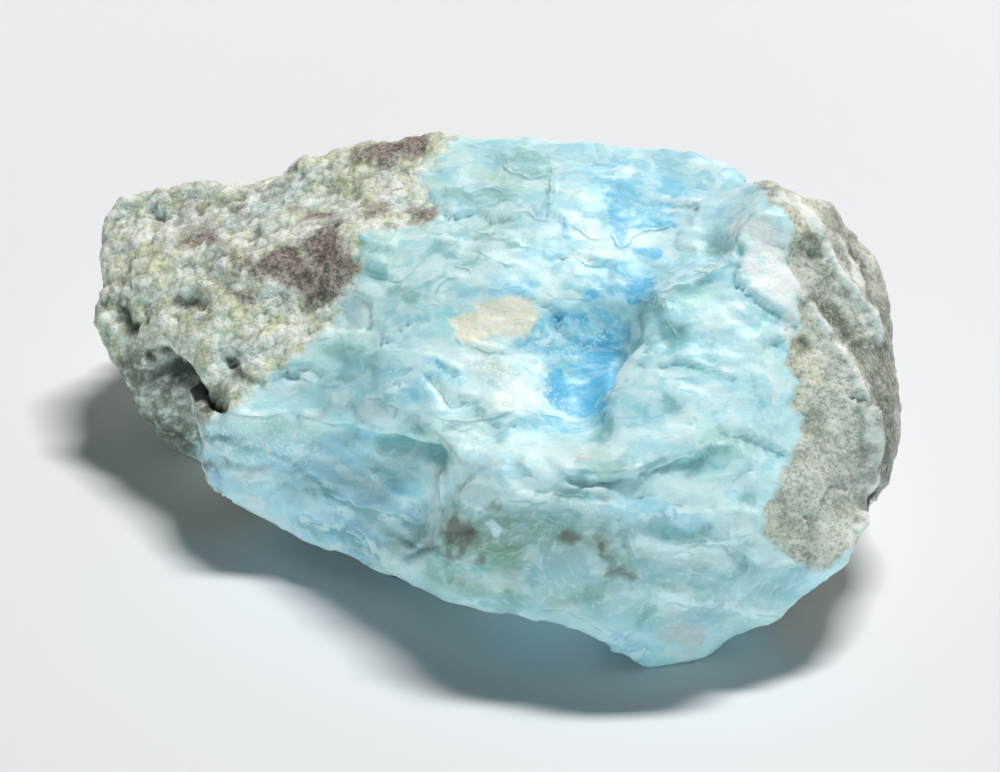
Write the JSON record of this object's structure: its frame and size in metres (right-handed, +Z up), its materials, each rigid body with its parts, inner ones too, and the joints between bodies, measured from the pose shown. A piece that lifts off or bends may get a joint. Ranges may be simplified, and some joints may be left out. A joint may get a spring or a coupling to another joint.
{
  "type": "raw larimar stone",
  "caption": "Rough lump of pale blue larimar with a grey basalt rind at one end and a granular greenish crust at the other, lying on a flat break.",
  "frame": {"origin": "on the surface the stone lies on, under the middle of its box", "axes": "+X along the stone from the crusted lobe to the basalt end, +Y from the overhanging front edge to the back, +Z up"},
  "size_m": [0.085, 0.066, 0.038],
  "materials": {
    "larimar": "rough broken pale blue pectolite, with a grainy grey basalt rind and a knobbly green-cream crust"
  },
  "bodies": {
    "root": {"raw_larimar": "larimar"}
  },
  "joints": []
}
